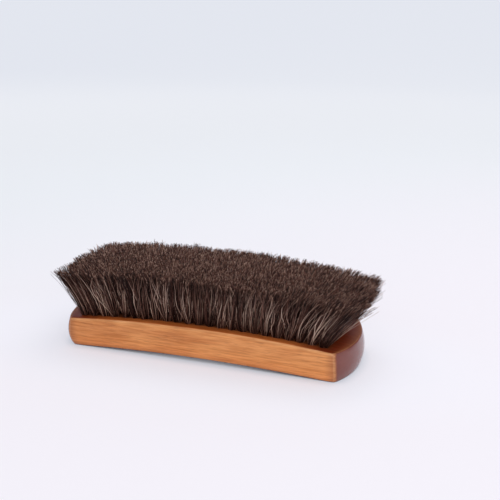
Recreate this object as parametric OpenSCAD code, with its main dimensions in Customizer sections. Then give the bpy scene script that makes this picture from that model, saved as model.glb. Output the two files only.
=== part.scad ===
// Shoe shine brush: a wooden block with a crowned face of bristle tufts and a hollowed back.
// It lies on the two flat lands at the ends of its back, bristles up.
// +X runs along the block, +Z out of the bristle face, and Z = 0 is the surface that it lies on.

/* [Block] */
// Length of the bristle face over its curved ends
face_len = 203; // [170:1:240]
// Width of the bristle face at its corners
face_w = 65; // [54:1:80]
// How far each long side bows out at its middle
side_bow = 1; // [0.2:0.1:3]
// How far each end curves out past its corners
end_bow = 8.6; // [4:0.2:13]
// Thickness of the block at its corners
block_t = 20.8; // [16:0.2:28]
// How far the bristle face rises at its middle
face_rise = 4.8; // [1:0.2:8]
// How far the back is hollowed at its middle
back_rise = 3.2; // [0.6:0.2:5]
// Length of the flat land beside each corner of the back
land_run = 2.5; // [1:0.5:14]
// How far the long sides swell past the edge of the bristle face
side_swell = 1.6; // [0.4:0.1:3]
// How far the long edges of the back lie inside those of the bristle face
back_inset = 2.5; // [0:0.1:5]
// How far the ends swell past their edges at the corners
end_swell = 1; // [0.4:0.1:2]
// How much further the ends swell at their middle
end_belly = 1.2; // [0.2:0.1:2]
// Rounding of the upright corners
corner_r = 1.8; // [1:0.2:6]
// Rounding of the edges round the bristle face and the back
edge_r = 0.8; // [0.4:0.1:2]

/* [Drilling] */
// Rows of holes across the block
rows = 9; // [7:2:9]
// Aimed distance between the holes of a row
hole_pitch = 7.4; // [6.6:0.1:10]
// Diameter of the holes
hole_d = 4.8; // [3.6:0.1:5]
// Depth of the holes below the bristle face
hole_depth = 11; // [8:0.5:13]
// Width of the bare wood beside the drilled field
side_rim = 3.7; // [2:0.1:6]
// Width of the bare wood past the corners of the drilled field
end_rim = 6.5; // [4:0.1:10]
// How far the ends of the drilled field curve out past its corners
field_bow = 4; // [1:0.2:8]
// Least wood between the last hole of a row and the end of the drilled field
end_wall = 1.2; // [0.6:0.1:3]
// Thickness of the drilled slice that each row of tufts is fused to
slice_t = 2; // [1:0.1:3]
// Gap round each slice
slice_gap = 0.05; // [0.02:0.01:0.1]

/* [Tufts] */
// Height of the bristles above the bristle face
bristle_h = 33.3; // [20:0.5:45]
// Gap between the root of a tuft and its hole
root_gap = 0.1; // [0.05:0.01:0.2]
// Height of the collar of hair where a tuft leaves its hole
collar_h = 0.8; // [0.2:0.1:2]
// Distance between the two locks of a tuft where they leave the collar
lock_gap = 2.2; // [1.8:0.1:2.4]
// Radius of a lock where it leaves the collar
lock_root_r = 0.95; // [0.6:0.05:1.1]
// Radius of a lock where it is widest
lock_r = 1.8; // [1.1:0.05:1.9]
// Radius of a lock at its cut tip
lock_tip_r = 1.65; // [0.8:0.05:1.8]
// How far a tip at the end of the block leans out along it
end_splay = 27; // [0:0.5:32]
// How far a tip at the side of the block leans out across it
side_splay = 13.6; // [6:0.2:20]
// How unevenly the tips stand, each way
unevenness = 0.45; // [0:0.05:0.6]

/* [Anchors] */
// Thickness of an anchor
anchor_t = 0.5; // [0.3:0.05:0.8]
// Height of an anchor
anchor_h = 1.6; // [1:0.1:2.5]
// How far each end of an anchor bites into the wood
anchor_bite = 0.5; // [0.2:0.05:0.6]
// Thickness of the folded hair below an anchor
fold_t = 1.2; // [0.6:0.1:3]
// Gap round an anchor
anchor_gap = 0.05; // [0.02:0.01:0.1]

/* [Hidden] */

wood_colour = [0.66, 0.36, 0.18];
hair_colour = [0.23, 0.18, 0.15];
wire_colour = [0.70, 0.69, 0.66];

// Steps of the lofted block: along half a side, over half an end, round a corner and up a side
side_steps = 10;
end_steps = 8;
corner_steps = 4;
wall_steps = 6;
edge_steps = 2;
hole_fn = 32;
overcut = 2;

// The corners of the bristle face, the ends of the hollow in the back and the edge of the field
corner_x = face_len / 2 - end_bow;
corner_y = face_w / 2;
land_x = corner_x - corner_r - edge_r - land_run;
field_y = corner_y - side_rim;
row_pitch = 2 * field_y / rows;
centre_row = (rows + 1) / 2;

// Heights of the rings of a lock as shares of its length, and how much of the lean each has
lock_levels = [0, 0.3, 0.66, 1];
lock_radii = [lock_root_r, (lock_root_r + lock_r) / 2, lock_r, lock_tip_r];
lock_sides = 3;
lock_bend = 1.25;
lock_bury = 1.4;
end_splay_power = 2;
side_splay_power = 1.4;
// How far the tips of a tuft's two locks stand from its middle, as a share of the distance between tufts
lock_spread = 0.25;
// How far the two locks of a tuft stand across the row for each millimetre along it
lock_slant = 0.8;
// Seeds of the unevenness: set apart from row to row, and from lock to lock along a row
seeds_per_row = 10000;
seeds_per_mm = 20;

// Height at x of an arc that spans plus and minus half and rises by rise
function arc(x, half, rise) =
    let (r = (half * half + rise * rise) / (2 * rise))
    sqrt(r * r - x * x) - r + rise;

function face_z(x) = block_t + arc(x, corner_x, face_rise);

function back_z(x) = abs(x) < land_x ? arc(x, land_x, back_rise) : 0;

// Swell of a wall at a share h of its height, from -inset at the back to 0 at the bristle face
function swell(h, most, inset) =
    let (k = sqrt(1 + inset / most), widest = k / (1 + k), q = (h - widest) / (1 - widest))
    most * (1 - q * q);

function reverse(list) = [for (i = [len(list) - 1 : -1 : 0]) list[i]];

function bend(a, b, c, q) = (1 - q) * (1 - q) * a + 2 * q * (1 - q) * b + q * q * c;

// A quarter of the plan outline, from the middle of the near side to the tip of the right end
function quarter(side_out, end_out, bow) =
    let (
        a = corner_x + end_out,
        w = corner_y + side_out,
        p = [a - corner_r, -w - arc(a - corner_r, a, side_bow)],
        q = [a + arc(w - corner_r, w, bow), corner_r - w]
    )
    concat(
        [for (i = [0 : side_steps]) let (x = land_x * i / side_steps) [x, -w - arc(x, a, side_bow)]],
        [for (i = [0 : corner_steps]) bend(p, [a, -w], q, i / corner_steps)],
        [for (i = [1 : end_steps])
            let (y = (w - corner_r) * (1 - i / end_steps))
            [a + arc(y, w, bow), -y]]
    );

function near_half(side_out, end_out, bow) =
    let (q = quarter(side_out, end_out, bow))
    concat([for (i = [len(q) - 1 : -1 : 1]) [-q[i].x, q[i].y]], q);

function outline(side_out, end_out, bow) =
    let (h = near_half(side_out, end_out, bow))
    concat(h, [for (i = [len(h) - 2 : -1 : 1]) [h[i].x, -h[i].y]]);

// One ring of the block at a share q of its wall, drawn in and raised by the rounding of an edge
function ring(q, inset, lift) =
    let (
        h = (edge_r + q * (block_t - 2 * edge_r)) / block_t,
        o = outline(
            swell(h, side_swell, back_inset) - inset,
            swell(h, end_swell, 0) - inset,
            end_bow + swell(h, end_belly, 0)
        )
    )
    [for (p = o)
        let (low = back_z(p.x) + edge_r, high = face_z(p.x) - edge_r)
        [p.x, p.y, low + q * (high - low) + lift]];

module block_body() {
    rings = concat(
        [for (i = [0 : edge_steps - 1])
            let (t = 90 * i / edge_steps)
            ring(0, edge_r * (1 - sin(t)), -edge_r * cos(t))],
        [for (i = [0 : wall_steps]) ring(i / wall_steps, 0, 0)],
        [for (i = [edge_steps - 1 : -1 : 0])
            let (t = 90 * i / edge_steps)
            ring(1, edge_r * (1 - sin(t)), edge_r * cos(t))]
    );
    n = len(rings[0]);
    top = (len(rings) - 1) * n;
    walls = [for (i = [0 : len(rings) - 2], j = [0 : n - 1])
        let (a = i * n + j, b = i * n + (j + 1) % n)
        each [[a, a + n, b], [b, a + n, b + n]]];
    caps = [for (j = [0 : n / 2 - 1])
        let (p = j, q = j + 1, r = n - j - 1, s = (n - j) % n)
        each concat(
            q == r ? [] : [[p, q, r], [top + p, top + r, top + q]],
            p == s ? [] : [[p, r, s], [top + p, top + s, top + r]]
        )];
    polyhedron([for (r = rings) each r], concat(walls, caps));
}

// The layer of the drilled field between two depths below the bristle face, for y from y0 to y1
module field_layer(y0, y1, low, high, gap) {
    a = corner_x - end_rim - gap;
    xs = [for (i = [-side_steps : side_steps]) (corner_x + end_bow) * i / side_steps];
    ys = [for (i = [-end_steps : end_steps]) corner_y * i / end_steps];
    ends = [for (y = ys) [a + arc(y, corner_y, field_bow), y]];
    intersection() {
        translate([0, y1 - gap, 0])
            rotate([90, 0, 0])
                linear_extrude(y1 - y0 - 2 * gap)
                    polygon(concat(
                        [for (x = xs) [x, face_z(x) - low]],
                        [for (x = reverse(xs)) [x, face_z(x) - high]]
                    ));
        linear_extrude(block_t + face_rise + overcut + overcut)
            polygon(concat(ends, [for (p = reverse(ends)) [-p.x, p.y]]));
    }
}

function row_y(row) = (row - centre_row) * row_pitch;

// Half the distance between the first and the last hole of a row
function row_reach(row) =
    corner_x - end_rim - end_wall - hole_d / 2
    + arc(min(abs(row_y(row)) + hole_d / 2, corner_y), corner_y, field_bow);

// Gaps between the holes of a row: even in the centre row and every second row from it, otherwise odd
function row_gaps(row) =
    let (odd = abs(row - centre_row) % 2)
    2 * round(row_reach(row) / hole_pitch - odd / 2) + odd;

function row_holes(row) =
    let (n = row_gaps(row), reach = row_reach(row), y = row_y(row))
    [for (i = [0 : n]) [reach * (2 * i / n - 1), y]];

module at_holes(row) {
    for (p = row_holes(row))
        translate([p.x, p.y, face_z(p.x) - hole_depth])
            children();
}

module holes(row) {
    at_holes(row)
        cylinder(d = hole_d, h = hole_depth, $fn = hole_fn);
}

// An anchor across the bottom of a hole, with a gap all round where it is cut out of hair or wood
module anchor(gap) {
    translate([0, 0, fold_t + anchor_h / 2])
        cube(
            [hole_d + 2 * anchor_bite + 2 * gap, anchor_t + 2 * gap, anchor_h + 2 * gap],
            center = true
        );
}

module block() {
    color(wood_colour)
        difference() {
            block_body();
            field_layer(-field_y, field_y, slice_t, -overcut, 0);
            for (row = [1 : rows]) {
                holes(row);
                at_holes(row)
                    anchor(anchor_gap);
            }
        }
}

// Where v moves to when tips lean out by most at half the width or length
function splayed(v, half, most, power) = v + sign(v) * most * pow(min(abs(v) / half, 1), power);

// 1 for the locks of one half of the field and -1 for their likenesses in the other
function half_of(p, s) = p.y > 0 || (p.y == 0 && p.x + s > 0) ? 1 : -1;

// Rings of one lock of the tuft at p, on side s of it, with three shares of unevenness
function lock_rings(p, s, pitch, u) =
    let (
        tip = [
            splayed(p.x, face_len / 2, end_splay, end_splay_power),
            splayed(p.y, corner_y, side_splay, side_splay_power)
        ],
        way = [s, s * lock_slant],
        root = p + way * lock_gap / (2 * norm(way)),
        end = tip + way * lock_spread * pitch + unevenness * half_of(p, s) * [u[0], u[1]],
        low = face_z(p.x) + collar_h - lock_bury,
        high = face_z(tip.x) + bristle_h + unevenness * u[2],
        facing = atan2(end.y, end.x)
    )
    [for (i = [0 : len(lock_levels) - 1])
        let (t = lock_levels[i], e = pow(t, lock_bend), c = root + (end - root) * e)
        for (k = [0 : lock_sides - 1])
            let (a = facing + 360 * k / lock_sides)
            [c.x + lock_radii[i] * cos(a), c.y + lock_radii[i] * sin(a), low + (high - low) * t]];

// The locks of a row as one shape, two to a tuft
module locks(row) {
    holes = row_holes(row);
    pitch = 2 * row_reach(row) / row_gaps(row);
    first_seed = seeds_per_row * (1 + abs(row - centre_row));
    strands = [for (p = holes, s = [-1, 1])
        let (seed = first_seed + round(seeds_per_mm * half_of(p, s) * (p.x + s)))
        lock_rings(p, s, pitch, rands(-1, 1, 3, seed))];
    m = lock_sides;
    count = len(lock_levels) * m;
    walls = [for (i = [0 : len(lock_levels) - 2], k = [0 : m - 1])
        let (a = i * m + k, b = i * m + (k + 1) % m)
        each [[a, a + m, b], [b, a + m, b + m]]];
    caps = [[for (k = [0 : m - 1]) k], [for (k = [m - 1 : -1 : 0]) count - m + k]];
    polyhedron(
        [for (s = strands) each s],
        [for (n = [0 : len(strands) - 1], f = concat(walls, caps)) [for (v = f) v + n * count]]
    );
}

// A row of tufts: their folded roots in the holes, the slice that they stand in and their locks
module tuft_row(row) {
    y = row_y(row);
    difference() {
        union() {
            color(wood_colour)
                field_layer(y - row_pitch / 2, y + row_pitch / 2, slice_t, 0, slice_gap);
            color(hair_colour)
                at_holes(row)
                    translate([0, 0, root_gap])
                        cylinder(
                            d = hole_d - 2 * root_gap,
                            h = hole_depth + collar_h - root_gap,
                            $fn = hole_fn
                        );
        }
        at_holes(row)
            anchor(anchor_gap);
    }
    color(hair_colour)
        locks(row);
}

module anchor_row(row) {
    color(wire_colour)
        at_holes(row)
            anchor(0);
}

block();
tuft_row(1);  // tuft_row_1
tuft_row(2);  // tuft_row_2
tuft_row(3);  // tuft_row_3
tuft_row(4);  // tuft_row_4
tuft_row(5);  // tuft_row_5
tuft_row(6);  // tuft_row_6
tuft_row(7);  // tuft_row_7
tuft_row(8);  // tuft_row_8
tuft_row(9);  // tuft_row_9
anchor_row(1);  // anchor_row_1
anchor_row(2);  // anchor_row_2
anchor_row(3);  // anchor_row_3
anchor_row(4);  // anchor_row_4
anchor_row(5);  // anchor_row_5
anchor_row(6);  // anchor_row_6
anchor_row(7);  // anchor_row_7
anchor_row(8);  // anchor_row_8
anchor_row(9);  // anchor_row_9
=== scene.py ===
"""A shoe shine brush that lies on its back: a lacquered wooden block with nine rows of horsehair tufts.

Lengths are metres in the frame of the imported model. +X runs along the block, +Y across it and +Z out of
the bristle face. Z = 0 is the surface that the brush lies on.
"""

import logging
import math
from dataclasses import dataclass, field, fields
from enum import Enum
from functools import cache
from typing import Any

import bmesh
import bpy
import numpy as np
from bmesh.types import BMEdge, BMesh, BMFace, BMVert
from bpy.types import Material, Mesh, Node, NodeSocket as Socket, NodeTree, Object
from mathutils import Matrix, Vector


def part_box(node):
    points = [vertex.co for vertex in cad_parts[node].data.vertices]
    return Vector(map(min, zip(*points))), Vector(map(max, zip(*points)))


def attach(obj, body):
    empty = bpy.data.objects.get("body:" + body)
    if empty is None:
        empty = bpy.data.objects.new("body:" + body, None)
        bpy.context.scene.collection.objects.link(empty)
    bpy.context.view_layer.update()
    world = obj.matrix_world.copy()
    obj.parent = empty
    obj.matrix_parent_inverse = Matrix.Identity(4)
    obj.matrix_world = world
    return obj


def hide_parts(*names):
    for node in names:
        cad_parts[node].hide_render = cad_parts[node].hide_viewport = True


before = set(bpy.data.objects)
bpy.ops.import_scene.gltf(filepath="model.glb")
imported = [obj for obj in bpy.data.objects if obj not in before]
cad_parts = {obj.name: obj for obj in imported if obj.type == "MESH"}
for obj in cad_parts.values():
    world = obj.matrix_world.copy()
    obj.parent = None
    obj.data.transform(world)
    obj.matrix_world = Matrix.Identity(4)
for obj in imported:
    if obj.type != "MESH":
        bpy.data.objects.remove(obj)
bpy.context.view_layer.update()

Colour = tuple[float, float, float]
Point = tuple[float, float, float]
Range = tuple[float, float]
Stops = tuple[tuple[float, Colour], ...]

MM = 0.001
UV_NAME = "OFBake"
GOLDEN_ANGLE = math.pi * (3 - math.sqrt(5))
HEIGHT_WEIGHT = 1000.0
WHITE: Colour = (1.0, 1.0, 1.0)
ROUND = {"affect": "EDGES", "offset_type": "OFFSET", "profile": 0.5, "material": -1}
WHOLE: Range = (0.0, 1.0)
log = logging.getLogger("shoe_shine_brush")


def arc(x: float | np.ndarray, half: float, rise: float) -> float | np.ndarray:
    """Height at x of an arc that spans plus and minus half and rises by rise.

    Args:
        x: Distance from the middle of the arc.
        half: Half the span.
        rise: Height at the middle.

    Returns:
        The height above the ends of the arc, below zero past them.
    """
    radius = (half * half + rise * rise) / (2 * rise)
    return np.sqrt(radius * radius - x * x) - radius + rise


def splayed(v: np.ndarray, half: float, most: float, power: float) -> np.ndarray:
    """Where coordinates move to when tips lean outwards, more so the further out they start.

    Args:
        v: Coordinates at the roots.
        half: Distance at which the lean is full.
        most: The full lean.
        power: How late the lean sets in.

    Returns:
        Coordinates of the tips.
    """
    return v + np.sign(v) * most * np.minimum(np.abs(v) / half, 1) ** power


@dataclass
class BlockShape:
    """Sizes of the wooden block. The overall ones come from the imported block."""

    side_bow: float = 1.0 * MM
    end_bow: float = 8.6 * MM
    face_rise: float = 4.8 * MM
    back_rise: float = 3.2 * MM
    land_run: float = 2.5 * MM
    side_swell: float = 1.6 * MM
    back_inset: float = 2.5 * MM
    end_swell: float = 1.0 * MM
    end_belly: float = 1.2 * MM
    corner_r: float = 1.8 * MM
    edge_r: float = 0.8 * MM
    corner_x: float = field(init=False)
    corner_y: float = field(init=False)
    thickness: float = field(init=False)

    def __post_init__(self) -> None:
        """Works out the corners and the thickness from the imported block's box."""
        low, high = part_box("block")
        self.corner_x = (high[0] - low[0]) / 2 - self.end_swell - self.end_belly - self.end_bow
        self.corner_y = (high[1] - low[1]) / 2 - self.side_swell - self.side_bow
        self.thickness = high[2] - self.face_rise

    @property
    def land_x(self) -> float:
        """Distance from the middle to the flat land at either end of the back."""
        return self.corner_x - self.corner_r - self.edge_r - self.land_run

    def face_z(self, x: float | np.ndarray) -> float | np.ndarray:
        """Height of the crowned bristle face at x."""
        return self.thickness + arc(x, self.corner_x, self.face_rise)

    def back_z(self, x: float) -> float:
        """Height of the hollowed back at x, zero on the lands."""
        return float(arc(x, self.land_x, self.back_rise)) if abs(x) < self.land_x else 0.0

    @staticmethod
    def swell(h: float, most: float, inset: float) -> float:
        """How far a wall stands out past the edge of the face.

        Args:
            h: Share of the wall's height, from 0 at the back to 1 at the face.
            most: How far it stands out at its widest.
            inset: How far the edge of the back lies inside the edge of the face.

        Returns:
            The distance, from -inset at the back to 0 at the face.
        """
        k = math.sqrt(1 + inset / most)
        widest = k / (1 + k)
        q = (h - widest) / (1 - widest)
        return most * (1 - q * q)

    def place(self, u: float, v: float, h: float) -> Vector:
        """Where a point of the squared-up block belongs on the real one.

        Args:
            u: Share of the half length, from -1 to 1.
            v: Share of the half width, from -1 to 1.
            h: Share of the height, from 0 at the back to 1 at the face.

        Returns:
            The point in the frame.
        """
        a = self.corner_x + self.swell(h, self.end_swell, 0)
        w = self.corner_y + self.swell(h, self.side_swell, self.back_inset)
        inner = self.land_x / self.corner_x
        in_end = max(0.0, (abs(u) - inner) / (1 - inner))
        bow = self.end_bow + self.swell(h, self.end_belly, 0)
        x = u * a + math.copysign(in_end, u) * arc(v * w, w, bow)
        y = v * (w + arc(u * a, a, self.side_bow))
        low = self.back_z(x)
        return Vector((x, y, low + h * (self.face_z(x) - low)))


@dataclass
class Drilling:
    """The blind holes of the bristle face, row by row."""

    shape: BlockShape
    rows: int
    hole_pitch: float = 7.4 * MM
    hole_d: float = 4.8 * MM
    hole_depth: float = 11.0 * MM
    side_rim: float = 3.7 * MM
    end_rim: float = 6.5 * MM
    field_bow: float = 4.0 * MM
    end_wall: float = 1.2 * MM

    @property
    def row_pitch(self) -> float:
        """Distance between two rows."""
        return 2 * (self.shape.corner_y - self.side_rim) / self.rows

    def row_y(self, row: int) -> float:
        """Place of a row across the block, with rows numbered from 1 at the near side."""
        return (row - (self.rows + 1) / 2) * self.row_pitch

    def pitch(self, row: int) -> float:
        """Distance between the holes of a row."""
        holes = self.holes(row)
        return float(holes[1, 0] - holes[0, 0])

    def holes(self, row: int) -> np.ndarray:
        """Centres of the holes of a row.

        Args:
            row: Number of the row.

        Returns:
            One x, y pair for each hole.
        """
        shape, y = self.shape, self.row_y(row)
        edge_y = min(abs(y) + self.hole_d / 2, shape.corner_y)
        reach = shape.corner_x - self.end_rim - self.end_wall - self.hole_d / 2
        reach += arc(edge_y, shape.corner_y, self.field_bow)
        odd = abs(row - (self.rows + 1) // 2) % 2
        gaps = 2 * round(reach / self.hole_pitch - odd / 2) + odd
        return np.stack([np.linspace(-reach, reach, gaps + 1), np.full(gaps + 1, y)], 1)


class Nodes:
    """Short calls that add nodes to one shader tree.

    Names of sockets repeat on the Mix node, so its colour sockets go by their numbers.
    """

    MIX_A = 6
    MIX_B = 7
    MIX_RESULT = 2

    def __init__(self, tree: NodeTree) -> None:
        """Keeps the tree and empties it."""
        self.tree = tree
        tree.nodes.clear()

    def add(self, kind: str, inputs: dict[Any, Any] | None = None, **properties: Any) -> Node:
        """Adds a node.

        Args:
            kind: Type of the node.
            inputs: Values or sockets for its inputs, by name or index.
            **properties: The node's own settings.

        Returns:
            The node.
        """
        node = self.tree.nodes.new(kind)
        for name, value in properties.items():
            setattr(node, name, value)
        for key, value in (inputs or {}).items():
            if isinstance(value, Socket):
                self.tree.links.new(value, node.inputs[key])
            else:
                node.inputs[key].default_value = value
        return node

    def math(self, operation: str, a: Any, b: Any = 0.0) -> Socket:
        """Adds a Math node and returns its output."""
        return self.add("ShaderNodeMath", {0: a, 1: b}, operation=operation).outputs[0]

    def times(self, a: Any, b: Any) -> Socket:
        """Adds a Math node that multiplies and returns its output."""
        return self.math("MULTIPLY", a, b)

    def parts(self, vector: Socket) -> list[Socket]:
        """Adds a Separate XYZ node and returns its three outputs."""
        return list(self.add("ShaderNodeSeparateXYZ", {0: vector}).outputs)

    def vector(self, operation: str, a: Any, b: Any = (1.0, 1.0, 1.0)) -> Socket:
        """Adds a Vector Math node and returns its output."""
        outputs = self.add("ShaderNodeVectorMath", {0: a, 1: b}, operation=operation).outputs
        return outputs["Value" if operation == "LENGTH" else "Vector"]

    def mix(self, factor: Any, a: Any, b: Any, blend: str = "MIX") -> Socket:
        """Adds a Mix node for colours.

        Args:
            factor: How much of b there is.
            a: A colour or a socket.
            b: Another one.
            blend: How b is laid over a.

        Returns:
            Its colour output.
        """
        a = (*a, 1.0) if isinstance(a, tuple) else a
        b = (*b, 1.0) if isinstance(b, tuple) else b
        inputs = {"Factor": factor, self.MIX_A: a, self.MIX_B: b}
        return self.add("ShaderNodeMix", inputs, data_type="RGBA", blend_type=blend).outputs[self.MIX_RESULT]

    def tinted(self, colour: Any, tint: Any) -> Socket:
        """Adds a Mix node that multiplies two colours and returns its output."""
        return self.mix(1.0, colour, tint, "MULTIPLY")

    def remap(self, value: Socket, over: tuple[Any, Any], to: Range = WHOLE) -> Socket:
        """Adds a smooth Map Range node.

        Args:
            value: What is mapped.
            over: The values, or sockets, at which the result starts and ends.
            to: The start and the end of the result.

        Returns:
            Its output.
        """
        inputs = {"Value": value, "From Min": over[0], "From Max": over[1], "To Min": to[0], "To Max": to[1]}
        return self.add("ShaderNodeMapRange", inputs, interpolation_type="SMOOTHSTEP").outputs[0]

    def band(self, value: Socket, rise: Range, fall: Range) -> Socket:
        """Adds a mask that rises over one range and falls over another, and returns it."""
        return self.math("SUBTRACT", self.remap(value, rise), self.remap(value, fall))

    def ramp(self, value: Socket, stops: Stops) -> Socket:
        """Adds a Color Ramp node.

        Args:
            value: What drives the ramp.
            stops: Places and colours.

        Returns:
            Its colour output.
        """
        node = self.add("ShaderNodeValToRGB", {0: value})
        elements = node.color_ramp.elements
        while len(elements) < len(stops):
            elements.new(1.0)
        for element, (place, colour) in zip(elements, stops):
            element.position = place
            element.color = (*colour, 1.0)
        return node.outputs[0]

    def finish(self, shader: Socket) -> None:
        """Links a shader to the material's output."""
        self.add("ShaderNodeOutputMaterial", {"Surface": shader})


@cache
def streaks_group() -> NodeTree:
    """Makes the node group of stretched noise once, for all the materials.

    Returns:
        The group, which has the inputs of Streaks and gives a mask from 0 to 1.
    """
    tree = bpy.data.node_groups.new("streaks", "ShaderNodeTree")
    tree.interface.new_socket("Vector", in_out="INPUT", socket_type="NodeSocketVector")
    for name, value in Streaks().inputs().items():
        socket = tree.interface.new_socket(name, in_out="INPUT", socket_type="NodeSocketFloat")
        socket.default_value = value
    tree.interface.new_socket("Mask", in_out="OUTPUT", socket_type="NodeSocketFloat")
    nodes = Nodes(tree)
    given = nodes.add("NodeGroupInput").outputs
    along = nodes.math("DIVIDE", given["Scale"], given["Stretch"])
    size = nodes.add("ShaderNodeCombineXYZ", {0: along, 1: given["Scale"], 2: given["Scale"]}).outputs[0]
    place = nodes.vector("MULTIPLY", given["Vector"], size)
    noise = nodes.add("ShaderNodeTexNoise", {"Vector": place, "Scale": 1.0, "Detail": given["Detail"]})
    mask = nodes.remap(noise.outputs[0], (given["Low"], given["High"]))
    nodes.add("NodeGroupOutput", {0: mask})
    return tree


@dataclass(frozen=True)
class Streaks:
    """One use of the stretched noise that wood, wire and the floor share.

    The scale is features per metre, the stretch is how much longer they are along X, and low and high are
    the noise values that give 0 and 1.
    """

    scale: float = 100.0
    stretch: float = 1.0
    detail: float = 3.0
    low: float = 0.35
    high: float = 0.65

    def inputs(self) -> dict[str, float]:
        """Values for the group's inputs, by name."""
        return {part.name.capitalize(): getattr(self, part.name) for part in fields(self)}

    def mask(self, nodes: Nodes, place: Socket) -> Socket:
        """Adds the shared group with these values and returns its mask."""
        inputs = {"Vector": place, **self.inputs()}
        return nodes.add("ShaderNodeGroup", inputs, node_tree=streaks_group()).outputs[0]


def new_material(name: str) -> tuple[Material, Nodes]:
    """Makes an empty node material.

    Args:
        name: Its name.

    Returns:
        The material and the calls that fill it.
    """
    material = bpy.data.materials.new(name)
    material.use_nodes = True
    return material, Nodes(material.node_tree)


class Surface:
    """Where a point of the block lies and which way it faces, as sockets of one shader tree."""

    def __init__(self, nodes: Nodes, end_facing: Range, face_facing: Range) -> None:
        """Adds the nodes.

        Args:
            nodes: Where they go.
            end_facing: How endways a surface has to face to belong to an end.
            face_facing: How far up it has to face to belong to the bristle face.
        """
        self.place = nodes.add("ShaderNodeTexCoord").outputs["Object"]
        self.out_x, self.out_y, _ = (nodes.math("ABSOLUTE", part) for part in nodes.parts(self.place))
        along, _, self.up = nodes.parts(nodes.add("ShaderNodeNewGeometry").outputs["Normal"])
        self.endways = nodes.math("ABSOLUTE", along)
        self.at_end = nodes.remap(self.endways, end_facing)
        self.at_face = nodes.remap(self.up, face_facing)


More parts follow.
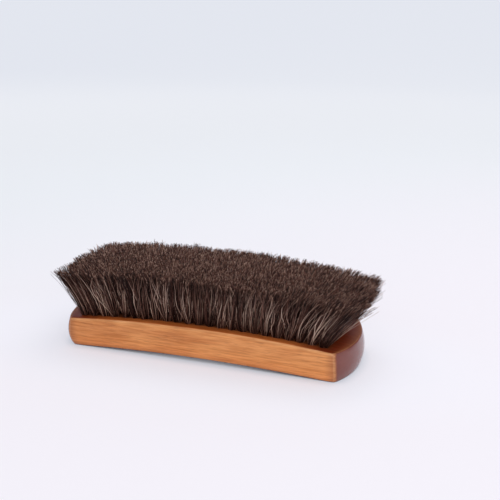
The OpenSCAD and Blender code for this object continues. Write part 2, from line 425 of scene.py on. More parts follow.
@dataclass(frozen=True)
class LacqueredWood:
    """Stained hardwood under clear lacquer, with its grain along X and darker stain off the long sides.

    A range says where a mask goes from 0 to 1. Those of the soil and shade and the bursts are distances from
    the middle of the block, and the others are parts of the surface's normal or values of the figure.
    """

    side: Colour = (0.70, 0.268, 0.080)
    # Painted light: the lower part of the walls, which faces down, is tinted lighter.
    under: Colour = (1.22, 1.24, 1.22)
    under_facing: Range = (-0.05, -0.5)
    end: Colour = (0.19, 0.036, 0.022)
    end_facing: Range = (0.45, 0.85)
    corner_burst: Range = (86.0 * MM, 94.0 * MM)
    corner_share: float = 0.5
    face: Colour = (0.50, 0.130, 0.030)
    face_facing: Range = (0.35, 0.8)
    face_end: Colour = (0.21, 0.030, 0.008)
    face_burst: Range = (60.0 * MM, 88.0 * MM)
    # Darker face among the tufts: partly soil, partly painted shade under the hair.
    soiled: Colour = (0.20, 0.058, 0.019)
    soil_x: Range = (90.5 * MM, 85.5 * MM)
    soil_y: Range = (28.8 * MM, 27.2 * MM)
    back: Colour = (0.50, 0.150, 0.036)
    back_facing: Range = (-0.35, -0.8)
    back_end: Colour = (0.27, 0.060, 0.022)
    back_burst: Range = (78.0 * MM, 101.0 * MM)
    # Paler rims and upright corners: part edge wear, part a painted highlight where the rounded edges catch
    # the light.
    worn: Colour = (0.82, 0.42, 0.18)
    worn_share: float = 0.45
    rim_rise: Range = (0.25, 0.45)
    rim_fall: Range = (0.6, 0.85)
    rim_sides: Range = (0.4, 0.15)
    upright_rise: Range = (0.12, 0.3)
    upright_fall: Range = (0.45, 0.7)
    upright_share: float = 0.6
    # Painted shade: a dark band on the downward rounded edge round the back, where the brush meets the
    # floor.
    foot: Colour = (0.13, 0.032, 0.014)
    foot_rise: Range = (-0.62, -0.75)
    foot_fall: Range = (-0.9, -0.98)
    foot_share: float = 0.85
    bands: Streaks = Streaks(330.0, 13.0, 4.0, 0.3, 0.7)
    fibres: Streaks = Streaks(1100.0, 18.0, 3.0, 0.3, 0.7)
    clouds: Streaks = Streaks(26.0, 1.4, 3.0, 0.3, 0.7)
    flecks: Streaks = Streaks(900.0, 7.0, 1.0, 0.62, 0.74)
    pores: Streaks = Streaks(1300.0, 14.0, 1.0, 0.64, 0.73)
    figure: Range = (0.25, 0.75)
    dark: Colour = (0.92, 0.85, 0.77)
    light: Colour = (1.05, 1.08, 1.11)
    dark_fibre: Colour = (0.82, 0.74, 0.66)
    light_fibre: Colour = (1.09, 1.13, 1.17)
    end_plainness: float = 0.6
    fleck: Colour = (0.16, 0.05, 0.02)
    fleck_share: float = 0.16
    pore: Colour = (0.10, 0.03, 0.012)
    pore_share: float = 0.3
    bump: float = 0.25
    bump_depth: float = 0.06 * MM
    roughness: float = 0.42
    roughness_spread: float = 0.12
    specular: float = 0.1
    coat: float = 0.6
    end_coat: float = 1.0
    face_coat_share: float = 0.05
    coat_roughness: float = 0.09

    def _stain(self, nodes: Nodes, at: Surface) -> Socket:
        """Adds the colour of the stain, with paler edges, part wear and part painted highlight, and painted
        shade round the back.

        Args:
            nodes: Where its nodes go.
            at: The surface that is stained.

        Returns:
            The colour.
        """
        corner = nodes.remap(at.out_x, self.corner_burst, (0.0, self.corner_share))
        side = nodes.mix(corner, self.side, self.end)
        # Painted light on the walls where they face down.
        side = nodes.mix(nodes.remap(at.up, self.under_facing), side, nodes.tinted(side, self.under))
        face = nodes.mix(nodes.remap(at.out_x, self.face_burst), self.face, self.face_end)
        # Soil and painted shade: the face darkens inside the drilled field, under the hair.
        among = nodes.times(nodes.remap(at.out_x, self.soil_x), nodes.remap(at.out_y, self.soil_y))
        face = nodes.mix(among, face, self.soiled)
        back = nodes.mix(nodes.remap(at.out_x, self.back_burst), self.back, self.back_end)
        stain = nodes.mix(at.at_end, side, self.end)
        stain = nodes.mix(at.at_face, stain, face)
        stain = nodes.mix(nodes.remap(at.up, self.back_facing), stain, back)
        # Paler rims and upright corners: part wear, part painted highlight.
        rim = nodes.band(at.up, self.rim_rise, self.rim_fall)
        rim = nodes.times(rim, nodes.remap(at.endways, self.rim_sides))
        upright = nodes.band(at.endways, self.upright_rise, self.upright_fall)
        upright = nodes.times(upright, self.upright_share)
        rubbed_and_lit = nodes.times(nodes.math("MAXIMUM", rim, upright), self.worn_share)
        stain = nodes.mix(rubbed_and_lit, stain, self.worn)
        # Painted shade on the downward rounded edge round the back.
        foot = nodes.band(at.up, self.foot_rise, self.foot_fall)
        return nodes.mix(nodes.times(foot, self.foot_share), stain, self.foot)

    def make(self) -> Material:
        """Makes the material.

        Returns:
            The material.
        """
        material, nodes = new_material("lacquered_wood")
        at = Surface(nodes, self.end_facing, self.face_facing)
        kinds = (self.bands, self.fibres, self.clouds, self.flecks, self.pores)
        bands, fibres, clouds, flecks, pores = (kind.mask(nodes, at.place) for kind in kinds)
        figure = nodes.remap(nodes.times(nodes.math("ADD", bands, clouds), 0.5), self.figure)
        tint = nodes.mix(figure, self.dark, self.light)
        tint = nodes.tinted(tint, nodes.mix(fibres, self.dark_fibre, self.light_fibre))
        tint = nodes.mix(nodes.times(at.at_end, self.end_plainness), tint, WHITE)
        colour = nodes.tinted(self._stain(nodes, at), tint)
        colour = nodes.mix(nodes.times(flecks, self.fleck_share), colour, self.fleck)
        colour = nodes.mix(nodes.times(pores, self.pore_share), colour, self.pore)
        height = nodes.math("SUBTRACT", fibres, pores)
        bump = {"Strength": self.bump, "Distance": self.bump_depth, "Height": height}
        rough = nodes.times(bands, self.roughness_spread)
        coat = nodes.remap(at.at_end, WHOLE, (self.coat, self.end_coat))
        face_coat = nodes.remap(at.at_face, WHOLE, (1.0, self.face_coat_share))
        inputs = {
            "Base Color": colour,
            "Roughness": nodes.math("ADD", rough, self.roughness - self.roughness_spread / 2),
            "Normal": nodes.add("ShaderNodeBump", bump).outputs[0],
            "Coat Weight": nodes.times(coat, face_coat),
            "Specular IOR Level": self.specular,
            "Coat Roughness": self.coat_roughness,
        }
        nodes.finish(nodes.add("ShaderNodeBsdfPrincipled", inputs).outputs[0])
        return material


@dataclass(frozen=True)
class Hair:
    """Natural horsehair. U of the map picks a strand's tone, and V runs from its root to its cut tip."""

    tones: Stops = (
        (0.0, (0.014, 0.005, 0.004)),
        (0.25, (0.055, 0.022, 0.016)),
        (0.50, (0.160, 0.088, 0.068)),
        (0.75, (0.380, 0.280, 0.230)),
        (1.0, (0.680, 0.560, 0.470)),
    )
    # Painted light along each strand: shade at the roots among the tufts, a lighter middle, a darker band
    # below the tip and a painted highlight on the cut end.
    shading: Stops = (
        (0.0, (0.45, 0.22, 0.16)),
        (0.13, (0.62, 0.42, 0.35)),
        (0.32, (1.05, 0.90, 0.83)),
        (0.55, (1.25, 1.12, 1.07)),
        (0.83, (0.84, 0.70, 0.67)),
        (0.92, (0.46, 0.33, 0.30)),
        (0.96, (0.90, 0.70, 0.65)),
    )
    roughness: Range = (0.42, 0.6)
    specular: float = 0.15

    def make(self) -> Material:
        """Makes the material.

        Returns:
            The material.
        """
        material, nodes = new_material("horsehair")
        uv = nodes.add("ShaderNodeUVMap", uv_map=UV_NAME).outputs[0]
        tone, along, _ = nodes.parts(uv)
        # The tone is tinted by the painted shade and highlight along the strand.
        inputs = {
            "Base Color": nodes.tinted(nodes.ramp(tone, self.tones), nodes.ramp(along, self.shading)),
            "Roughness": nodes.remap(tone, WHOLE, self.roughness),
            "Specular IOR Level": self.specular,
        }
        nodes.finish(nodes.add("ShaderNodeBsdfPrincipled", inputs).outputs[0])
        return material


@dataclass(frozen=True)
class Wire:
    """Plain flat steel wire with faint drawing lines."""

    colour: Colour = (0.56, 0.55, 0.52)
    dull: Colour = (0.38, 0.37, 0.35)
    dull_share: float = 0.3
    lines: Streaks = Streaks(6000.0, 30.0)
    roughness: Range = (0.28, 0.42)

    def make(self) -> Material:
        """Makes the material.

        Returns:
            The material.
        """
        material, nodes = new_material("anchor_wire")
        place = nodes.add("ShaderNodeTexCoord").outputs["Object"]
        lines = self.lines.mask(nodes, place)
        inputs = {
            "Base Color": nodes.mix(nodes.times(lines, self.dull_share), self.colour, self.dull),
            "Roughness": nodes.remap(lines, WHOLE, self.roughness),
            "Metallic": 1.0,
        }
        nodes.finish(nodes.add("ShaderNodeBsdfPrincipled", inputs).outputs[0])
        return material


@dataclass(frozen=True)
class Paper:
    """Matt paper that looks paler to the camera than its light makes it.

    A range says where a mask goes from 0 to 1, except for the glow, which is a share of what is seen. Those
    of the painted shadow line and the opening are values of the ambient occlusion, and the others are
    metres.
    """

    colour: Colour = (0.935, 0.895, 0.95)
    # Painted light: the paper is cooler towards the back left and darker and bluer far off, as the light
    # falls off across the sweep.
    cool: Colour = (0.90, 0.912, 0.95)
    cool_range: Range = (-0.05, 0.8)
    far: Colour = (0.785, 0.81, 0.88)
    far_range: Range = (0.5, 2.2)
    # Painted cool tint near the brush, seen by the camera, over the warm light that the wood throws onto the
    # paper.
    near: Colour = (0.955, 0.955, 1.03)
    near_range: Range = (0.115, 0.055)
    near_squash: Point = (0.5, 1.0, 1.0)
    mottle: Streaks = Streaks(3.0, low=0.2, high=0.8)
    mottled: Colour = (0.985, 0.985, 0.985)
    # Painted contact shadow round the brush, driven by ambient occlusion, and a darker painted shadow line
    # right at its edge.
    contact: Colour = (0.68, 0.75, 0.84)
    contact_reach: float = 9.0 * MM
    contact_samples: int = 8
    open_range: Range = (0.3, 0.9)
    crack: Colour = (0.08, 0.065, 0.07)
    crack_range: Range = (0.27, 0.09)
    glow: Range = (0.5, 0.95)
    glow_range: Range = (0.3, 1.5)
    roughness: float = 0.9
    specular: float = 0.1

    def make(self) -> Material:
        """Makes the material.

        Returns:
            The material.
        """
        material, nodes = new_material("paper")
        place = nodes.add("ShaderNodeTexCoord").outputs["Object"]
        away = nodes.vector("LENGTH", place)
        place_x, place_y, _ = nodes.parts(place)
        # Painted falloff of the light: cooler towards the back left, darker far off.
        cool = nodes.remap(nodes.math("SUBTRACT", place_y, place_x), self.cool_range)
        paper = nodes.mix(cool, self.colour, self.cool)
        paper = nodes.mix(nodes.remap(away, self.far_range), paper, self.far)
        mottle = self.mottle.mask(nodes, place)
        shaded = nodes.mix(mottle, paper, nodes.tinted(paper, self.mottled))
        # Ambient occlusion drives the painted contact shadow and shadow line.
        reach = {"Distance": self.contact_reach}
        clear = nodes.add("ShaderNodeAmbientOcclusion", reach, samples=self.contact_samples).outputs["AO"]
        crack = nodes.remap(clear, self.crack_range)
        inputs = {
            "Base Color": nodes.mix(crack, shaded, self.crack),
            "Roughness": self.roughness,
            "Specular IOR Level": self.specular,
        }
        lit = nodes.add("ShaderNodeBsdfPrincipled", inputs)
        # Painted cool tint near the brush.
        beside = nodes.vector("LENGTH", nodes.vector("MULTIPLY", place, self.near_squash))
        shown = nodes.mix(nodes.remap(beside, self.near_range), paper, self.near)
        # Painted contact shadow, then the painted shadow line, in what the camera sees.
        shown = nodes.mix(nodes.remap(clear, self.open_range), self.contact, shown)
        shown = nodes.mix(crack, shown, self.crack)
        glow = nodes.add("ShaderNodeEmission", {"Color": shown, "Strength": 1.0})
        seen = nodes.add("ShaderNodeLightPath").outputs["Is Camera Ray"]
        share = nodes.times(seen, nodes.remap(away, self.glow_range, self.glow))
        both = nodes.add("ShaderNodeMixShader", {0: share, 1: lit.outputs[0], 2: glow.outputs[0]})
        nodes.finish(both.outputs[0])
        return material


def new_object(name: str, data: bpy.types.ID) -> Object:
    """Makes an object in the scene.

    Args:
        name: Its name.
        data: Its mesh, lamp or camera.

    Returns:
        The object, at the origin.
    """
    made = bpy.data.objects.new(name, data)
    bpy.context.scene.collection.objects.link(made)
    return made


def mesh_object(name: str, bm: BMesh) -> Object:
    """Turns a bmesh into an object.

    Args:
        name: Name of the object.
        bm: The mesh, which is freed.

    Returns:
        The object.
    """
    mesh = bpy.data.meshes.new(name)
    bm.to_mesh(mesh)
    bm.free()
    return new_object(name, mesh)


def pulled(bm: BMesh, edges: list[BMEdge], by: Point) -> list[BMEdge]:
    """Pulls a strip of faces out of a line of edges.

    Args:
        bm: The mesh.
        edges: Where the strip starts.
        by: How far it is pulled.

    Returns:
        The edges at its far side.
    """
    made = bmesh.ops.extrude_edge_only(bm, edges=edges)["geom"]
    moved = [part for part in made if isinstance(part, BMVert)]
    bmesh.ops.translate(bm, verts=moved, vec=by)
    far = set(moved)
    return [part for part in made if isinstance(part, BMEdge) and far.issuperset(part.verts)]


@dataclass
class WoodenBlock:
    """The one solid piece of hardwood, drilled for the tufts."""

    shape: BlockShape
    drilling: Drilling
    long_cuts: int = 38
    cross_cuts: int = 14
    wall_cuts: int = 6
    corner_segments: int = 6
    edge_segments: int = 3
    hole_sides: int = 16
    overcut: float = 1.0 * MM
    rim_angle: float = math.radians(50)
    sharp_angle: float = math.radians(35)

    def _squared_up(self) -> BMesh:
        """Makes a box of unit height that is cut where the real block bends.

        Returns:
            The box, with rounded uprights.
        """
        shape = self.shape
        bm = bmesh.new()
        halves = Matrix.Diagonal((shape.corner_x, shape.corner_y, 0.5, 1))
        bmesh.ops.create_cube(bm, size=2.0, matrix=Matrix.Translation((0, 0, 0.5)) @ halves)
        uprights = [e for e in bm.edges if e.verts[0].co.z != e.verts[1].co.z]
        bmesh.ops.bevel(bm, geom=uprights, offset=shape.corner_r, segments=self.corner_segments, **ROUND)
        end = (shape.land_x + shape.corner_x - shape.corner_r) / 2
        side = shape.corner_y - 2 * shape.corner_r
        along = [-end, *np.linspace(-shape.land_x, shape.land_x, self.long_cuts), end]
        across = np.linspace(-side, side, self.cross_cuts)
        up = np.linspace(0, 1, self.wall_cuts + 2)[1:-1]
        for axis, places in enumerate((along, across, up)):
            for place in places:
                point, way = Vector(), Vector()
                point[axis], way[axis] = place, 1
                geometry = bm.verts[:] + bm.edges[:] + bm.faces[:]
                bmesh.ops.bisect_plane(bm, geom=geometry, plane_co=point, plane_no=way)
        return bm

    def _body(self) -> BMesh:
        """Bends the squared-up block into its shape and rounds the edges round its face and back.

        Returns:
            The block before it is drilled.
        """
        bm = self._squared_up()
        for v in bm.verts:
            v.co = self.shape.place(v.co.x / self.shape.corner_x, v.co.y / self.shape.corner_y, v.co.z)
        bm.normal_update()
        rims = [e for e in bm.edges if e.calc_face_angle() > self.rim_angle]
        bmesh.ops.bevel(bm, geom=rims, offset=self.shape.edge_r, segments=self.edge_segments, **ROUND)
        bmesh.ops.recalc_face_normals(bm, faces=bm.faces)
        return bm

    def _drills(self) -> BMesh:
        """Makes what the holes take away.

        Returns:
            One cylinder for each hole, from its bottom to just above the bristle face.
        """
        bm = bmesh.new()
        drilling = self.drilling
        depth = drilling.hole_depth + self.overcut
        for row in range(1, drilling.rows + 1):
            for x, y in drilling.holes(row):
                middle = self.shape.face_z(x) - drilling.hole_depth + depth / 2
                bmesh.ops.create_cone(
                    bm,
                    cap_ends=True,
                    segments=self.hole_sides,
                    radius1=drilling.hole_d / 2,
                    radius2=drilling.hole_d / 2,
                    depth=depth,
                    matrix=Matrix.Translation((x, y, middle)),
                )
        return bm

    def build(self, material: Material) -> Object:
        """Makes the drilled block.

        Args:
            material: Its finish.

        Returns:
            The piece.
        """
        block = mesh_object("wooden_block", self._body())
        drills = mesh_object("drills", self._drills())
        cut = block.modifiers.new("holes", "BOOLEAN")
        cut.operation = "DIFFERENCE"
        cut.solver = "EXACT"
        cut.object = drills
        graph = bpy.context.evaluated_depsgraph_get()
        block.data = bpy.data.meshes.new_from_object(block.evaluated_get(graph))
        block.modifiers.clear()
        bpy.data.objects.remove(drills)
        block.data.shade_smooth()
        block.data.set_sharp_from_angle(angle=self.sharp_angle)
        block.data.materials.append(material)
        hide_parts("block")
        return block


@dataclass(frozen=True)
class Habit:
    """How one kind of hair grows, beside the lock that it stands in."""

    share: float
    radius: float
    wander: float
    wave: float
    shorter: float
    paler: float


class HairKind(Enum):
    """The kinds of hair in a tuft."""

    FINE = Habit(0.72, 0.18 * MM, 0.85 * MM, 0.70 * MM, 0.60 * MM, -0.08)
    COARSE = Habit(0.22, 0.20 * MM, 2.10 * MM, 1.70 * MM, 0.15 * MM, 0.34)
    STRAY = Habit(0.06, 0.18 * MM, 2.80 * MM, 3.60 * MM, 0.80 * MM, 0.62)

    @classmethod
    def pick(cls, count: int, rng: np.random.Generator) -> dict[str, np.ndarray]:
        """Picks a kind for each hair.

        Args:
            count: How many hairs.
            rng: Source of chance.

        Returns:
            What the kinds say, by name, with one value for each hair.
        """
        habits = [kind.value for kind in cls]
        picked = rng.choice(len(habits), count, p=[habit.share for habit in habits])
        return {
            part.name: np.array([getattr(habit, part.name) for habit in habits])[picked]
            for part in fields(Habit)
        }


@dataclass(frozen=True)
class TubeMap:
    """Where the parts of a tube lie on its map.

    The sides of its wall lie over each other in the middle, and its caps are flat ellipses below and above.
    """

    wall_start: float = 0.025
    wall_height: float = 0.945
    low_cap: float = 0.012
    high_cap: float = 0.985
    cap_width: float = 0.4
    cap_height: float = 0.01

    def place(self, face: BMFace, vert: BMVert) -> Range:
        """Finds a corner of a face on the map.

        Args:
            face: The face.
            vert: Its corner.

        Returns:
            U and V.
        """
        turn = math.atan2(vert.co.y, vert.co.x)
        if abs(face.normal.z) > 0.5:
            cap = self.high_cap if face.normal.z > 0 else self.low_cap
            return 0.5 + self.cap_width * math.cos(turn), cap + self.cap_height * math.sin(turn)
        middle = face.calc_center_median()
        off = (turn - math.atan2(middle.y, middle.x) + math.pi) % (2 * math.pi) - math.pi
        return 0.5 + off / (2 * math.pi), self.wall_start + self.wall_height * vert.co.z


@dataclass
class Bundle:
    """A mesh as arrays: its points, the corners of its faces, how many each face has, and their map."""

    points: np.ndarray
    corners: np.ndarray
    sides: np.ndarray
    uv: np.ndarray

    @staticmethod
    def _rank(point: Vector) -> float:
        """Ranks points of a tube by height and then by turn, so that their order is the same each run."""
        return HEIGHT_WEIGHT * point.z + math.atan2(point.y, point.x)

    @classmethod
    def tube(cls, sides: int, heights: tuple[float, ...]) -> "Bundle":
        """Makes a closed tube of radius 1.

        Args:
            sides: Sides of the tube.
            heights: Heights of its rings, from 0 to 1.

        Returns:
            The tube.
        """
        bm = bmesh.new()
        bmesh.ops.create_circle(bm, cap_ends=False, segments=sides, radius=1.0)
        ring = bm.edges[:]
        for low, high in zip(heights, heights[1:]):
            ring = pulled(bm, ring, (0, 0, high - low))
        bmesh.ops.holes_fill(bm, edges=[e for e in bm.edges if e.is_boundary], sides=0)
        bmesh.ops.recalc_face_normals(bm, faces=bm.faces)
        bm.verts.sort(key=lambda v: cls._rank(v.co))
        bm.faces.sort(key=lambda f: cls._rank(f.calc_center_median()))
        bm.verts.index_update()
        layout = TubeMap()
        bundle = cls(
            np.array([v.co for v in bm.verts]),
            np.array([loop.vert.index for f in bm.faces for loop in f.loops]),
            np.array([len(f.verts) for f in bm.faces]),
            np.array([layout.place(f, loop.vert) for f in bm.faces for loop in f.loops]),
        )
        bm.free()
        return bundle

    def repeated(self, points: np.ndarray, uv: np.ndarray) -> "Bundle":
        """Makes bent copies.

        Args:
            points: The points of each copy, shaped copies by points by 3.
            uv: The map of each copy, shaped copies by corners by 2.

        Returns:
            All the copies.
        """
        copies, size = points.shape[:2]
        corners = self.corners[None] + np.arange(copies)[:, None] * size
        return Bundle(points.reshape(-1, 3), corners.ravel(), np.tile(self.sides, copies), uv.reshape(-1, 2))

    def joined(self, other: "Bundle") -> "Bundle":
        """Puts another bundle after this one.

        Args:
            other: The other one.

        Returns:
            Both.
        """
        moved = Bundle(other.points, other.corners + len(self.points), other.sides, other.uv)
        return Bundle(*map(np.concatenate, zip(vars(self).values(), vars(moved).values())))

    def mesh(self, name: str) -> Mesh:
        """Makes a mesh.

        Args:
            name: Its name.

        Returns:
            The mesh, smooth and with its map.
        """
        starts = np.cumsum(self.sides) - self.sides
        mesh = bpy.data.meshes.new(name)
        mesh.vertices.add(len(self.points))
        mesh.vertices.foreach_set("co", self.points.astype(np.float32).ravel())
        mesh.loops.add(len(self.corners))
        mesh.loops.foreach_set("vertex_index", self.corners.astype(np.int32))
        mesh.polygons.add(len(self.sides))
        mesh.polygons.foreach_set("loop_start", starts.astype(np.int32))
        mesh.polygons.foreach_set("use_smooth", np.ones(len(self.sides), bool))
        layer = mesh.uv_layers.new(name=UV_NAME)
        layer.uv.foreach_set("vector", self.uv.astype(np.float32).ravel())
        mesh.update(calc_edges=True)
        mesh.validate()
        return mesh


@dataclass
class Chance:
    """Random values for the hairs of one row of tufts."""

    rng: np.random.Generator
    tufts: int
    locks: int
    hairs: int
    alike: float = 0.55
    most: float = 1.8

    @property
    def count(self) -> int:
        """How many hairs there are."""
        return self.tufts * self.locks * self.hairs

    def each(self, values: np.ndarray) -> np.ndarray:
        """Repeats what holds for a lock for each of its hairs."""
        return np.repeat(values.reshape(-1, *values.shape[2:]), self.hairs, 0)

    def draw(self, *shape: int) -> np.ndarray:
        """Draws values about 0 that are mostly under 1 and never far over it."""
        return np.clip(self.rng.normal(0, 1, shape), -self.most, self.most)

    def of_locks(self, *shape: int) -> np.ndarray:
        """Draws values for each lock, of which the locks of a tuft share a part."""
        own = self.draw(self.tufts, self.locks, *shape)
        return self.each(own + self.alike * self.draw(self.tufts, 1, *shape))


@dataclass
class Horsehair:
    """The tufts: locks of hair that stand in the holes and flare into one dense crowned brushing face."""

    shape: BlockShape
    drilling: Drilling
    locks: int = 12
    hairs: int = 14
    sides: int = 3
    stations: tuple[float, ...] = (0.0, 0.07, 0.13, 0.27, 0.44, 0.62, 0.81, 1.0)
    taper_at: tuple[float, ...] = (0.0, 0.5, 1.0)
    taper: tuple[float, ...] = (0.9, 1.0, 0.75)
    thickness: Range = (0.8, 1.15)
    bristle_h: float = 33.3 * MM
    tuft_r: float = 2.4 * MM
    bury: float = 2.5 * MM
    plug_r: float = 2.3 * MM
    plug_top: float = 0.3 * MM
    plug_sides: int = 12
    plug_shade: float = 0.1
    end_splay: float = 22.6 * MM
    side_splay: float = 11.6 * MM
    sweep: float = 4.8 * MM
    tilt: float = 0.014
    end_power: float = 2.3
    side_power: float = 1.4
    bend: float = 1.55
    fill: float = 0.56
    flare: float = 6.0
    lock_width: float = 0.21
    gather: float = 0.8
    lock_lean: float = 1.45 * MM
    lock_bow: float = 1.2 * MM
    lock_curl: float = 0.35 * MM
    curl_share: float = 0.45
    lock_uneven: float = 0.4 * MM
    lock_tone: float = 0.06
    tone_columns: int = 32
    tone_spread: Range = (1.5, 4.2)
    seed: int = 23
    seed_step: int = 100

    def _tip(self, at: np.ndarray) -> np.ndarray:
        """Where the tips of hairs lie that stand over these points of the drilled field.

        Args:
            at: x, y pairs in the last axis.

        Returns:
            x, y pairs.
        """
        shape = self.shape
        x = splayed(at[..., 0], shape.corner_x + shape.end_bow, self.end_splay, self.end_power)
        y = splayed(at[..., 1], shape.corner_y, self.side_splay, self.side_power)
        return np.stack([x + self.sweep, y], -1)

    def _lock_places(self, chance: Chance) -> np.ndarray:
        """Spreads the locks of each tuft evenly over a disc of radius 1.

        Args:
            chance: Source of chance.

        Returns:
            x, y pairs, shaped tufts by locks by 2.
        """
        order = np.arange(self.locks)
        radius = np.sqrt((order + 0.5) / self.locks)
        turn = order * GOLDEN_ANGLE + chance.rng.uniform(0, 2 * math.pi, (chance.tufts, 1))
        return radius[:, None] * np.stack([np.cos(turn), np.sin(turn)], -1)

    def _middles(
        self, row: int, hole: np.ndarray, t: np.ndarray, habit: dict[str, np.ndarray], chance: Chance
    ) -> np.ndarray:
        """Bends the middle line of each hair of a row.

        Args:
            row: Number of the row.
            hole: Centre of each hair's hole.
            t: Shares of a hair's length, the last of them 1.
            habit: What each hair's kind says.
            chance: Source of chance.

        Returns:
            x, y pairs, shaped hairs by shares by 2.
        """
        count = chance.count
        wander, wave = habit["wander"][:, None], habit["wave"][:, None]
        lock = chance.each(self._lock_places(chance))
        beside = self.lock_width * chance.draw(count, 2)
        lean = self.lock_lean * chance.of_locks(2) + wander * chance.draw(count, 2)
        bow = self.lock_bow * chance.of_locks(2) + wave * chance.draw(count, 2)
        curl = self.lock_curl * chance.of_locks(2) + self.curl_share * wave * chance.draw(count, 2)
        reach = np.array([self.drilling.pitch(row), self.drilling.row_pitch]) * self.fill
        clear = np.maximum(0, (t - self.stations[1]) / (1 - self.stations[1]))
        flare = (1 - (1 - clear) ** self.flare)[:, None]
        place = (lock + beside)[:, None] + beside[:, None] * (self.gather - 1) * t[:, None]
        over = hole[:, None] + place * (self.tuft_r + (reach - self.tuft_r) * flare)
        out = (self._tip(over[:, -1]) - over[:, -1] + lean)[:, None] * (t ** self.bend)[:, None]
        belly = bow[:, None] * (np.sin(math.pi * t) * np.sqrt(t))[:, None]
        belly += curl[:, None] * (np.sin(2 * math.pi * t) * t)[:, None]
        return over + out + belly

    def _hairs(self, row: int, tube: Bundle) -> tuple[np.ndarray, np.ndarray]:
        """Bends a copy of the tube into each hair of a row.

        Args:
            row: Number of the row.
            tube: The hair that is bent.

        Returns:
            The points of each hair and its tone, which is mostly from 0 to 1.
        """
        holes = self.drilling.holes(row)
        rng = np.random.default_rng(self.seed * self.seed_step + row)
        chance = Chance(rng, len(holes), self.locks, self.hairs)
        count = chance.count
        habit = HairKind.pick(count, rng)
        hole = chance.each(np.repeat(holes[:, None], self.locks, 1))
        ring_x, ring_y, t = tube.points.T
        middle = self._middles(row, hole, t, habit, chance)
        tip_x = middle[:, -1, 0]

        short = self.lock_uneven * np.abs(chance.of_locks()) + habit["shorter"] * rng.exponential(1.0, count)
        low = self.shape.face_z(hole[:, 0]) - self.bury
        high = self.shape.face_z(tip_x) + self.bristle_h - short - self.tilt * tip_x
        angle = rng.uniform(0, 2 * math.pi, count)[:, None] + np.arctan2(ring_y, ring_x)
        thick = (habit["radius"] * rng.uniform(*self.thickness, count))[:, None]
        thick = thick * np.interp(t, self.taper_at, self.taper)
        points = np.empty((count, len(t), 3))
        points[:, :, 0] = middle[:, :, 0] + np.cos(angle) * thick
        points[:, :, 1] = middle[:, :, 1] + np.sin(angle) * thick
        points[:, :, 2] = low[:, None] + (high - low)[:, None] * t
        tone = rng.beta(*self.tone_spread, count) + habit["paler"] + self.lock_tone * chance.of_locks()
        return points, tone

    def _plugs(self, row: int, plug: Bundle) -> np.ndarray:
        """Stretches a copy of the plug from the bottom of each hole of a row to just below its rim.

        Args:
            row: Number of the row.
            plug: A tube of two rings.

        Returns:
            The points of each copy.
        """
        holes = self.drilling.holes(row)
        top = self.shape.face_z(holes[:, 0])[:, None]
        bottom = top - self.drilling.hole_depth
        points = np.empty((len(holes), len(plug.points), 3))
        points[:, :, :2] = holes[:, None] + plug.points[:, :2] * self.plug_r
        points[:, :, 2] = bottom + (top - self.plug_top - bottom) * plug.points[:, 2]
        return points

    def _row(self, row: int, tube: Bundle, plug: Bundle) -> Mesh:
        """Makes the mesh of one row of tufts.

        Args:
            row: Number of the row.
            tube: The hair that is bent and repeated.
            plug: The folded root of a tuft, which is repeated.

        Returns:
            The mesh.
        """
        points, tone = self._hairs(row, tube)
        column = np.clip(np.floor(tone * self.tone_columns), 0, self.tone_columns - 1)
        size = np.array([1 / self.tone_columns, 1.0])
        hairs = tube.repeated(points, (column[:, None, None] * [1, 0] + tube.uv) * size)
        points = self._plugs(row, plug)
        plugs = plug.repeated(points, np.tile(plug.uv * size * [1, self.plug_shade], (len(points), 1, 1)))
        return hairs.joined(plugs).mesh(f"horsehair_row_{row}")

    def build(self, material: Material) -> list[Object]:
        """Makes one piece for each row.

        Args:
            material: The finish of the hair.

        Returns:
            The pieces.
        """
        tube = Bundle.tube(self.sides, self.stations)
        plug = Bundle.tube(self.plug_sides, WHOLE)
        made = []
        for row in range(1, self.drilling.rows + 1):
            mesh = self._row(row, tube, plug)
            mesh.materials.append(material)
            piece = new_object(mesh.name, mesh)
            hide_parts(f"tuft_row_{row}")
            made.append(piece)
        return made


@dataclass(frozen=True)
class Softbox:
    """A square lamp that points at the brush.

    Its level is what it adds to a white surface that faces it at the brush.
    """

    name: str
    at: Point
    size: float
    level: float
    colour: Colour

    def build(self) -> None:
        """Makes the lamp."""
        away = Vector(self.at)
        data = bpy.data.lights.new(self.name, "AREA")
        data.shape = "SQUARE"
        data.size = self.size
        data.color = self.colour
        data.energy = self.level * math.pi ** 2 * away.length_squared
        lamp = new_object(self.name, data)
        lamp.location = away
        lamp.rotation_euler = away.to_track_quat("Z", "Y").to_euler()


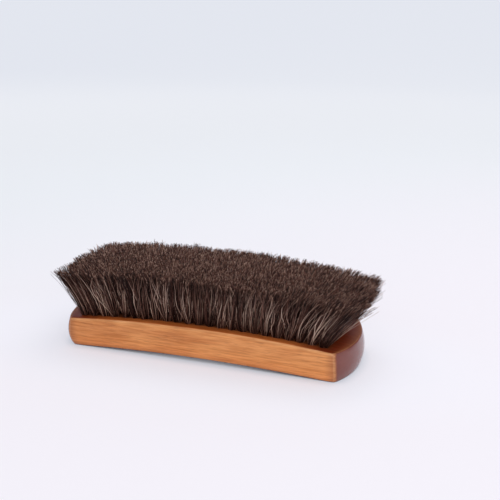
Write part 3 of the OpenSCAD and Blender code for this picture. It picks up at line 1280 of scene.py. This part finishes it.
@dataclass
class Studio:
    """A pale seamless sweep, soft lamps and the camera."""

    paper: Paper = Paper()
    softboxes: tuple[Softbox, ...] = (
        Softbox("overhead_softbox", (0.25, 0.3, 1.1), 1.0, 0.37, (1.0, 0.975, 0.94)),
        Softbox("front_softbox", (0.5, -1.05, 0.75), 1.1, 0.30, (1.0, 0.955, 0.90)),
    )
    world_colour: Colour = (0.86, 0.93, 1.0)
    world_light: float = 0.65
    camera_turn: float = 0.336
    camera_lift: float = 0.298
    camera_distance: float = 598.4 * MM
    camera_target: Point = (17.0 * MM, 26.4 * MM, 63.0 * MM)
    camera_start: float = 10.0 * MM
    lens_mm: float = 62.29
    sensor_mm: float = 36.0
    floor_z: float = -0.05 * MM
    floor_near: float = -2.5
    floor_far: float = 1.6
    half_width: float = 3.0
    sweep_r: float = 0.6
    sweep_steps: int = 24
    wall_h: float = 2.4

    def camera(self) -> None:
        """Makes the camera at the photograph's viewing angle."""
        turn, lift = self.camera_turn, self.camera_lift
        back = Vector((math.sin(turn) * math.cos(lift), -math.cos(turn) * math.cos(lift), math.sin(lift)))
        data = bpy.data.cameras.new("camera")
        data.lens = self.lens_mm
        data.sensor_width = self.sensor_mm
        data.clip_start = self.camera_start
        made = new_object("camera", data)
        made.location = Vector(self.camera_target) + back * self.camera_distance
        made.rotation_euler = back.to_track_quat("Z", "Y").to_euler()
        bpy.context.scene.camera = made

    def sweep(self, material: Material) -> None:
        """Makes the floor, which curves up into a wall.

        Args:
            material: Its paper.
        """
        bm = bmesh.new()
        ends = [bm.verts.new((side * self.half_width, self.floor_near, self.floor_z)) for side in (-1, 1)]
        back_edge = pulled(bm, [bm.edges.new(ends)], (0, self.floor_far - self.floor_near, 0))
        turned = bmesh.ops.spin(
            bm,
            geom=back_edge,
            cent=(0, self.floor_far, self.floor_z + self.sweep_r),
            axis=(1, 0, 0),
            angle=math.pi / 2,
            steps=self.sweep_steps,
        )["geom_last"]
        pulled(bm, [part for part in turned if isinstance(part, BMEdge)], (0, 0, self.wall_h))
        bmesh.ops.recalc_face_normals(bm, faces=bm.faces)
        floor = mesh_object("sweep", bm)
        floor.data.shade_smooth()
        floor.data.materials.append(material)

    def world(self) -> None:
        """Makes the even light all round, and the pale ground that the camera and reflections see."""
        world = bpy.data.worlds.new("studio")
        world.use_nodes = True
        nodes = Nodes(world.node_tree)
        path = nodes.add("ShaderNodeLightPath").outputs
        seen = nodes.math("MAXIMUM", path["Is Camera Ray"], path["Is Glossy Ray"])
        seen = nodes.math("MAXIMUM", seen, path["Is Transmission Ray"])
        lit = nodes.add("ShaderNodeBackground", {0: (*self.world_colour, 1.0), 1: self.world_light})
        shown = nodes.add("ShaderNodeBackground", {0: (*self.paper.far, 1.0), 1: 1.0})
        both = nodes.add("ShaderNodeMixShader", {0: seen, 1: lit.outputs[0], 2: shown.outputs[0]})
        nodes.add("ShaderNodeOutputWorld", {"Surface": both.outputs[0]})
        bpy.context.scene.world = world

    def build(self) -> None:
        """Sets the whole studio up."""
        bpy.context.scene.view_settings.view_transform = "Standard"
        self.camera()
        self.world()
        self.sweep(self.paper.make())
        for softbox in self.softboxes:
            softbox.build()


def dress_anchors(rows: int, material: Material) -> None:
    """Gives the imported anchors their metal.

    Args:
        rows: How many rows of anchors there are.
        material: The metal.
    """
    for row in range(1, rows + 1):
        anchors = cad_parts[f"anchor_row_{row}"]
        anchors.data.materials.clear()
        anchors.data.materials.append(material)
        log.info("%s: %d faces", anchors.name, len(anchors.data.polygons))


def main() -> None:
    """Builds the studio and the brush, piece by piece."""
    logging.basicConfig(level=logging.INFO, format="%(name)s: %(message)s")
    Studio().build()
    rows = sum(name.startswith("tuft_row_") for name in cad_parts)
    shape = BlockShape()
    drilling = Drilling(shape, rows)
    block = WoodenBlock(shape, drilling).build(LacqueredWood().make())
    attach(block, "root")
    log.info("%s: %d faces", block.name, len(block.data.polygons))
    for piece in Horsehair(shape, drilling).build(Hair().make()):
        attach(piece, "root")
        log.info("%s: %d faces", piece.name, len(piece.data.polygons))
    dress_anchors(rows, Wire().make())


if __name__ == "__main__":
    main()
